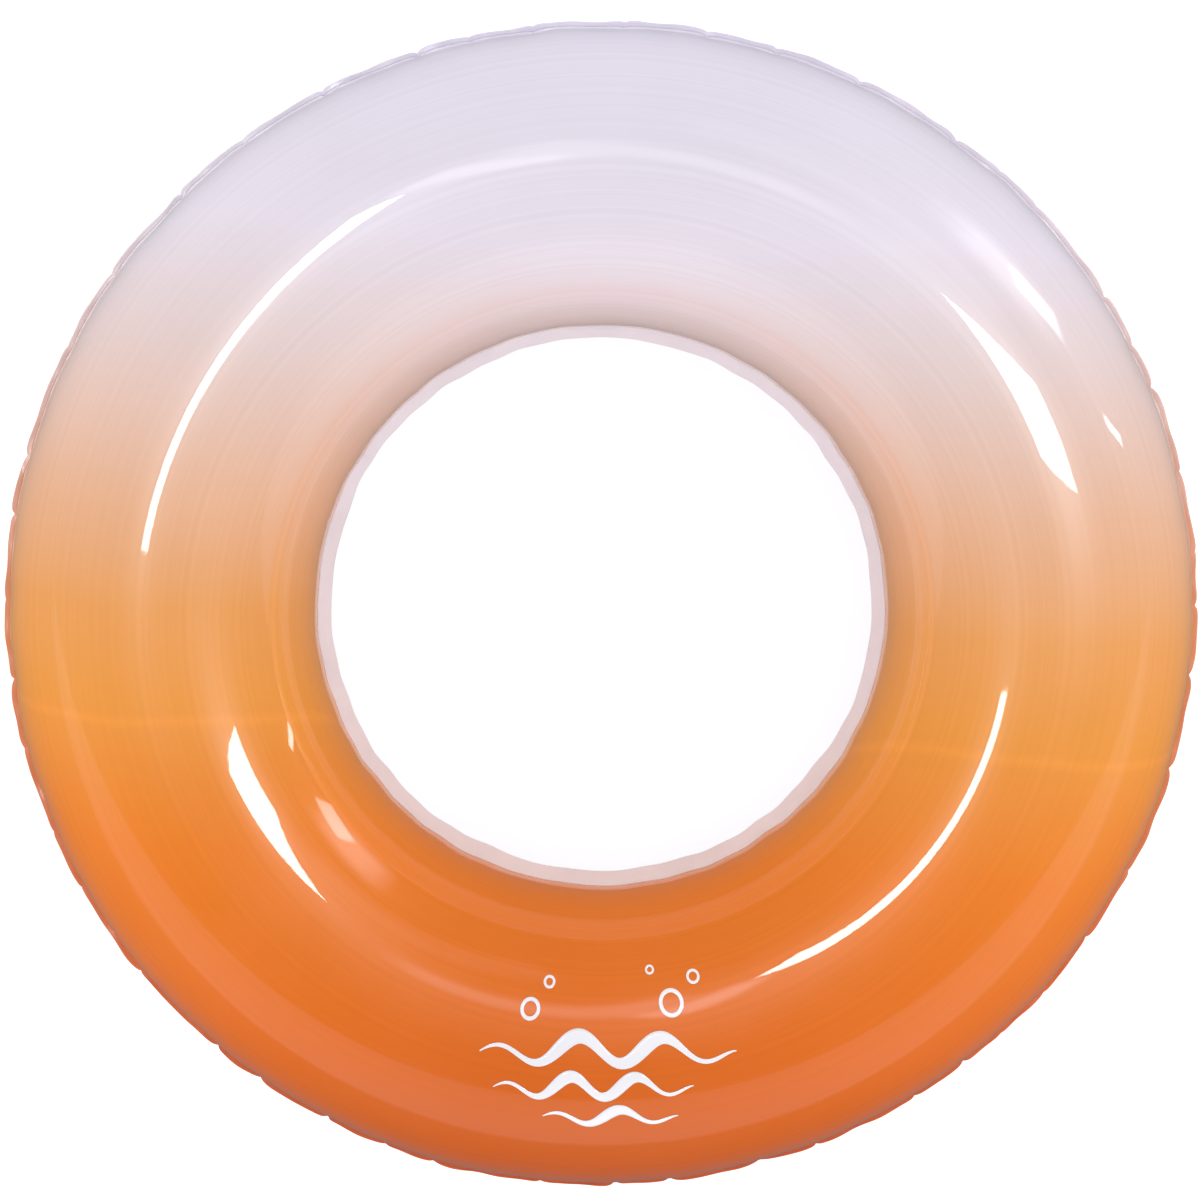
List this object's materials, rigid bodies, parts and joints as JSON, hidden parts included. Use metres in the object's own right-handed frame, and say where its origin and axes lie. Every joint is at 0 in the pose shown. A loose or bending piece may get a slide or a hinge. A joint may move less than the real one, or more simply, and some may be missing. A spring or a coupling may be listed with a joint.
{
  "type": "inflatable swim ring",
  "caption": "Inflatable swim ring of two welded vinyl films, with white weld margins, a printed upper film and a push-in check valve with a tethered stopper.",
  "frame": {"origin": "centre of the ring, on the surface that it rests on", "axes": "+Z is the ring's axis, up out of the printed film. +Y is the pale end of the print. The valve is in the lower film, at 135 degrees from +X towards +Y."},
  "size_m": [0.8279, 0.828, 0.2117],
  "materials": {
    "printed_vinyl": "glossy, printed from lavender white through peach and orange to deep orange",
    "white_vinyl": "glossy, milky",
    "outer_margin": "glossy, pinched by the weld",
    "inner_margin": "unprinted, milky, with the weld's fine ribs",
    "valve_vinyl": "soft moulded vinyl, satin",
    "stopper_vinyl": "soft moulded vinyl, satin",
    "seat_plastic": "moulded, matt",
    "flap_film": "soft clear film"
  },
  "bodies": {
    "ring": {"upper_skin": "printed_vinyl", "lower_skin": "white_vinyl", "outer_weld_band": "outer_margin", "inner_weld_band": "inner_margin", "valve_flange": "valve_vinyl", "valve_boot": "valve_vinyl"},
    "valve_stem": {"valve_stem": "valve_vinyl", "flap_seat": "seat_plastic"},
    "stopper": {"stopper": "stopper_vinyl", "stopper_strap": "stopper_vinyl"},
    "check_flap": {"check_flap": "flap_film"}
  },
  "joints": [
    {"name": "valve_pull", "type": "slide", "parent": "ring", "child": "valve_stem", "axis": [-0.5417, 0.5417, -0.6428], "range_m": [0, 0.012], "deforming": ["valve_boot"]},
    {"name": "stopper_hinge", "type": "hinge", "parent": "valve_stem", "child": "stopper", "pos_m": [-0.27652, 0.27652, 0.04609], "axis": [0.7071, 0.7071, 0], "range_deg": [0, 110]},
    {"name": "flap_hinge", "type": "hinge", "parent": "valve_stem", "child": "check_flap", "pos_m": [-0.26376, 0.26376, 0.04361], "axis": [0.7071, 0.7071, 0], "range_deg": [0, 55], "stiffness_Nm_per_rad": 0.00002}
  ]
}
